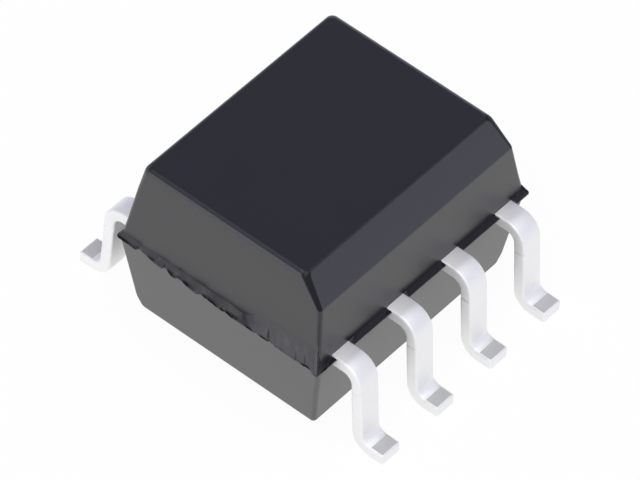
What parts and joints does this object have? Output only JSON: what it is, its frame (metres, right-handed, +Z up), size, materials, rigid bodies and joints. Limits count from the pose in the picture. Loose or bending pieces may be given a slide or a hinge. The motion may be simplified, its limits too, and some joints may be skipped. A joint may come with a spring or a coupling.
{
  "type": "surface-mount optocoupler chip",
  "caption": "Small-outline optocoupler: drafted black moulding with one bevelled top edge and bent leads in two rows, light emitters facing detectors inside.",
  "frame": {"origin": "centre of the seating plane under the feet", "axes": "+Z up through the top face, +X along the lead rows from lead 1 to lead 4, -Y towards leads 1 to 4 and the bevelled edge"},
  "size_m": [0.0051, 0.006, 0.0032],
  "materials": {
    "black_epoxy": "fine satin moulding finish",
    "light_epoxy": "matte, filled with white powder",
    "tinned_lead": "bright matte tin over copper alloy",
    "emitter_crystal": "sawn crystal",
    "silicon": "polished silicon",
    "silver_glue": "cured silver-filled epoxy",
    "gold_wire": "drawn gold",
    "clear_gel": "clear soft gel"
  },
  "bodies": {
    "root": {"outer_moulding": "black_epoxy", "inner_moulding": "light_epoxy", "lead_1": "tinned_lead", "lead_2": "tinned_lead", "lead_3": "tinned_lead", "lead_4": "tinned_lead", "lead_5": "tinned_lead", "lead_6": "tinned_lead", "lead_7": "tinned_lead", "lead_8": "tinned_lead", "emitter_chip_1": "emitter_crystal", "detector_chip_1": "silicon", "emitter_glue_1": "silver_glue", "detector_glue_1": "silver_glue", "emitter_wire_1": "gold_wire", "detector_wire_1": "gold_wire", "emitter_gel_1": "clear_gel", "emitter_chip_2": "emitter_crystal", "detector_chip_2": "silicon", "emitter_glue_2": "silver_glue", "detector_glue_2": "silver_glue", "emitter_wire_2": "gold_wire", "detector_wire_2": "gold_wire", "emitter_gel_2": "clear_gel"}
  },
  "joints": []
}
